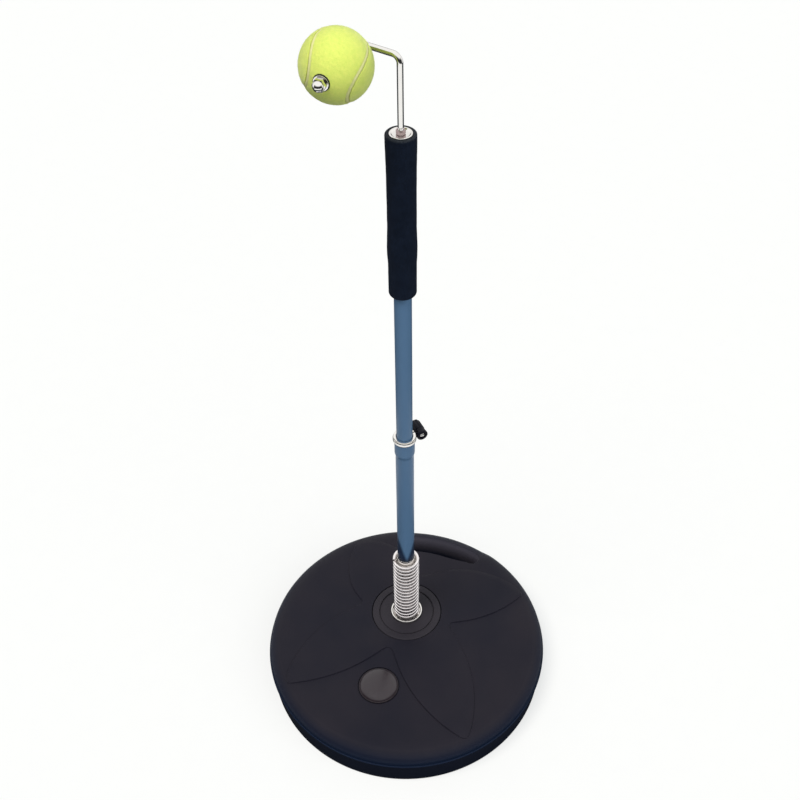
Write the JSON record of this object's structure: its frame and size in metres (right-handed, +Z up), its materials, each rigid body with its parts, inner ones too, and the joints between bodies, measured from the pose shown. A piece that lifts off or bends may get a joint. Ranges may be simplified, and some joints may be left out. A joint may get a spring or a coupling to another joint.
{
  "type": "tennis swing trainer",
  "caption": "Tennis ball on a bent rod over a telescoping pole with a foam grip, held upright by a coil spring on a round fillable base with a carrying slot.",
  "frame": {"origin": "on the floor under the middle of the round base", "axes": "+Z up along the pole, -Y to the filling plug's side, +Y to the side that the pole and the carrying slot are on"},
  "size_m": [0.376, 0.376, 0.922],
  "materials": {
    "base_plastic": "satin blow-moulded black",
    "gloss_plastic": "polished black",
    "rubber": "matte black",
    "nylon": "moulded black",
    "chrome": "bright plated",
    "steel": "zinc plated",
    "brass": "turned",
    "blue_paint": "glossy slate blue",
    "grip_foam": "closed-cell foam, navy black",
    "felt": "fluffy felt",
    "seam_paste": "smooth matt"
  },
  "bodies": {
    "base": {"base_shell": "base_plastic", "center_disc": "base_plastic", "spring_cup": "chrome", "spring_plug": "steel", "bolt_washer": "steel", "base_bolt": "steel"},
    "filler": {"fill_plug": "gloss_plastic", "plug_seal": "rubber"},
    "spring": {"flex_spring": "chrome"},
    "pole": {"spring_sleeve": "chrome", "sleeve_pin": "steel", "lower_tube": "blue_paint", "glide_bush": "nylon", "clamp_collar": "chrome", "clamp_bolt": "steel", "bolt_cup": "gloss_plastic", "knob_washer": "steel"},
    "knob": {"clamp_knob": "gloss_plastic", "knob_insert": "brass"},
    "mast": {"upper_tube": "blue_paint", "tube_foot_bush": "nylon", "foam_grip": "grip_foam", "head_plug": "nylon", "head_disc": "chrome"},
    "arm": {"swing_rod": "chrome", "rod_lock_nut": "chrome", "rod_inner_nut": "steel", "stop_nut": "steel", "rear_washer": "steel", "front_washer": "chrome", "dome_nut": "chrome"},
    "ball": {"ball_hub": "nylon", "ball_core": "rubber", "ball_felt_one": "felt", "ball_felt_two": "felt", "ball_seam": "seam_paste"}
  },
  "joints": [
    {"name": "spring_bend_sideways", "type": "hinge", "parent": "base", "child": "spring", "pos_m": [0, 0.035, 0.1041], "axis": [0, 1, 0], "range_deg": [-30, 30], "stiffness_Nm_per_rad": 14, "deforming": ["flex_spring"]},
    {"name": "spring_bend_forwards", "type": "hinge", "parent": "spring", "child": "pole", "pos_m": [0, 0.035, 0.1353], "axis": [1, 0, 0], "range_deg": [-30, 30], "stiffness_Nm_per_rad": 14, "deforming": ["flex_spring"]},
    {"name": "height_slide", "type": "slide", "parent": "pole", "child": "mast", "axis": [0, 0, 1], "range_m": [-0.12, 0.05]},
    {"name": "knob_turn", "type": "hinge", "parent": "pole", "child": "knob", "pos_m": [0.01869, 0.04412, 0.4078], "axis": [-0.4384, 0.8988, 0], "range_deg": [0, 720]},
    {"name": "arm_swivel", "type": "hinge", "parent": "mast", "child": "arm", "pos_m": [0, 0.035, 0.889], "axis": [0, 0, 1], "continuous": true},
    {"name": "ball_spin", "type": "hinge", "parent": "arm", "child": "ball", "pos_m": [-0.05456, 0.01699, 0.889], "axis": [-0.342, -0.9397, 0], "continuous": true},
    {"name": "filler_pull", "type": "slide", "parent": "base", "child": "filler", "axis": [0, 0, 1], "range_m": [0, 0.03]}
  ]
}
